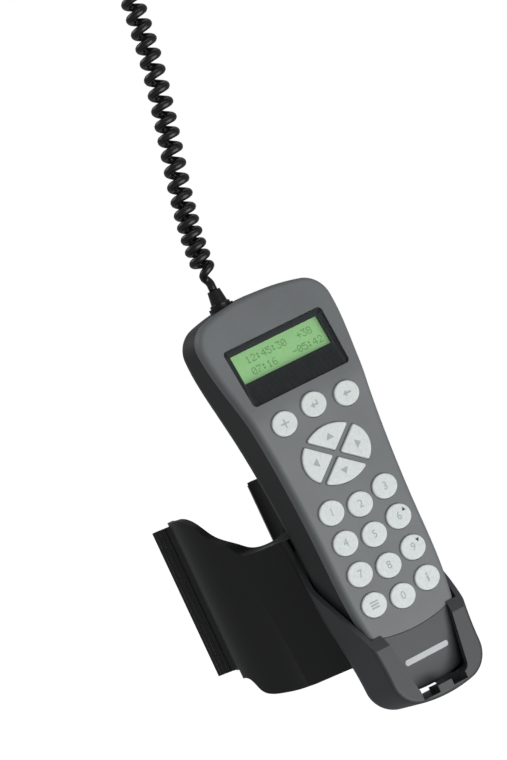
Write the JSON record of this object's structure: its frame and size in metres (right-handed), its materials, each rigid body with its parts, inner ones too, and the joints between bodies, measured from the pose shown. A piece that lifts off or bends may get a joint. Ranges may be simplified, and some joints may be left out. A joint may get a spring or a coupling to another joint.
{
  "type": "telescope hand controller",
  "caption": "Hand controller with a green two-line display and rubber keys, standing in a cradle that slides onto a clip-on tripod leg clamp, with a curly cord and modular plug.",
  "frame": {"origin": "middle of the leg clamp's bore, on its axis", "axes": "+Z along the tripod leg, from the controller's foot to its head; the keys face -Y; +X to the right of someone who faces the keys"},
  "size_m": [0.0874, 0.1113, 0.4118],
  "materials": {
    "bracket": "fine moulded texture, black ABS",
    "face": "fine moulded texture, mid grey ABS",
    "case": "fine moulded texture, charcoal ABS",
    "badge": "satin printed bar",
    "key": "translucent silicone, satin",
    "lens": "clear acrylic, glossy",
    "mask": "printed dark grey",
    "lcd": "green liquid crystal cell",
    "light_guide": "moulded acrylic",
    "steel": "zinc plated",
    "board": "green solder mask",
    "chip": "moulded epoxy",
    "mat": "translucent silicone",
    "contact": "carbon filled silicone",
    "ribbon": "polyimide",
    "cord": "satin black elastomer",
    "plug": "clear polycarbonate",
    "gold": "gold plated"
  },
  "bodies": {
    "clamp": {"leg_clamp": "bracket"},
    "holder": {"cradle": "bracket"},
    "controller": {"front_shell": "face", "nose_cover": "case", "nose_badge": "badge", "back_shell": "case", "case_screws": "steel", "display_lens": "lens", "display_mask": "mask", "display_frame": "steel", "display_glass": "lcd", "display_backlight": "light_guide", "display_board": "board", "main_board": "board", "keypad_mat": "mat", "key_contacts": "contact", "board_chips": "chip", "cord_header": "chip", "lead_plug": "chip", "display_ribbon": "ribbon", "board_screws": "steel", "strain_relief": "cord", "inner_lead": "cord", "curly_cord": "cord", "cord_tail": "cord", "plug_boot": "cord", "plug_body": "plug", "plug_contacts": "gold"},
    "key_align": {"key_align": "key"},
    "key_enter": {"key_enter": "key"},
    "key_undo": {"key_undo": "key"},
    "key_up": {"key_up": "key"},
    "key_down": {"key_down": "key"},
    "key_left": {"key_left": "key"},
    "key_right": {"key_right": "key"},
    "key_1": {"key_1": "key"},
    "key_2": {"key_2": "key"},
    "key_3": {"key_3": "key"},
    "key_4": {"key_4": "key"},
    "key_5": {"key_5": "key"},
    "key_6": {"key_6": "key"},
    "key_7": {"key_7": "key"},
    "key_8": {"key_8": "key"},
    "key_9": {"key_9": "key"},
    "key_0": {"key_0": "key"},
    "key_menu": {"key_menu": "key"},
    "key_info": {"key_info": "key"}
  },
  "joints": [
    {"name": "holder_slide", "type": "slide", "parent": "clamp", "child": "holder", "axis": [0, 0, 1], "range_m": [0, 0.07]},
    {"name": "controller_lift", "type": "slide", "parent": "holder", "child": "controller", "axis": [0, 0, 1], "range_m": [0, 0.09]},
    {"name": "key_align_press", "type": "slide", "parent": "controller", "child": "key_align", "axis": [0, 1, 0], "range_m": [0, 0.001], "stiffness_N_per_m": 800, "springref_m": -0.0005},
    {"name": "key_enter_press", "type": "slide", "parent": "controller", "child": "key_enter", "axis": [0, 1, 0], "range_m": [0, 0.001], "stiffness_N_per_m": 800, "springref_m": -0.0005},
    {"name": "key_undo_press", "type": "slide", "parent": "controller", "child": "key_undo", "axis": [0, 1, 0], "range_m": [0, 0.001], "stiffness_N_per_m": 800, "springref_m": -0.0005},
    {"name": "key_up_press", "type": "slide", "parent": "controller", "child": "key_up", "axis": [0, 1, 0], "range_m": [0, 0.001], "stiffness_N_per_m": 800, "springref_m": -0.0005},
    {"name": "key_down_press", "type": "slide", "parent": "controller", "child": "key_down", "axis": [0, 1, 0], "range_m": [0, 0.001], "stiffness_N_per_m": 800, "springref_m": -0.0005},
    {"name": "key_left_press", "type": "slide", "parent": "controller", "child": "key_left", "axis": [0, 1, 0], "range_m": [0, 0.001], "stiffness_N_per_m": 800, "springref_m": -0.0005},
    {"name": "key_right_press", "type": "slide", "parent": "controller", "child": "key_right", "axis": [0, 1, 0], "range_m": [0, 0.001], "stiffness_N_per_m": 800, "springref_m": -0.0005},
    {"name": "key_1_press", "type": "slide", "parent": "controller", "child": "key_1", "axis": [0, 1, 0], "range_m": [0, 0.001], "stiffness_N_per_m": 800, "springref_m": -0.0005},
    {"name": "key_2_press", "type": "slide", "parent": "controller", "child": "key_2", "axis": [0, 1, 0], "range_m": [0, 0.001], "stiffness_N_per_m": 800, "springref_m": -0.0005},
    {"name": "key_3_press", "type": "slide", "parent": "controller", "child": "key_3", "axis": [0, 1, 0], "range_m": [0, 0.001], "stiffness_N_per_m": 800, "springref_m": -0.0005},
    {"name": "key_4_press", "type": "slide", "parent": "controller", "child": "key_4", "axis": [0, 1, 0], "range_m": [0, 0.001], "stiffness_N_per_m": 800, "springref_m": -0.0005},
    {"name": "key_5_press", "type": "slide", "parent": "controller", "child": "key_5", "axis": [0, 1, 0], "range_m": [0, 0.001], "stiffness_N_per_m": 800, "springref_m": -0.0005},
    {"name": "key_6_press", "type": "slide", "parent": "controller", "child": "key_6", "axis": [0, 1, 0], "range_m": [0, 0.001], "stiffness_N_per_m": 800, "springref_m": -0.0005},
    {"name": "key_7_press", "type": "slide", "parent": "controller", "child": "key_7", "axis": [0, 1, 0], "range_m": [0, 0.001], "stiffness_N_per_m": 800, "springref_m": -0.0005},
    {"name": "key_8_press", "type": "slide", "parent": "controller", "child": "key_8", "axis": [0, 1, 0], "range_m": [0, 0.001], "stiffness_N_per_m": 800, "springref_m": -0.0005},
    {"name": "key_9_press", "type": "slide", "parent": "controller", "child": "key_9", "axis": [0, 1, 0], "range_m": [0, 0.001], "stiffness_N_per_m": 800, "springref_m": -0.0005},
    {"name": "key_0_press", "type": "slide", "parent": "controller", "child": "key_0", "axis": [0, 1, 0], "range_m": [0, 0.001], "stiffness_N_per_m": 800, "springref_m": -0.0005},
    {"name": "key_menu_press", "type": "slide", "parent": "controller", "child": "key_menu", "axis": [0, 1, 0], "range_m": [0, 0.001], "stiffness_N_per_m": 800, "springref_m": -0.0005},
    {"name": "key_info_press", "type": "slide", "parent": "controller", "child": "key_info", "axis": [0, 1, 0], "range_m": [0, 0.001], "stiffness_N_per_m": 800, "springref_m": -0.0005}
  ]
}
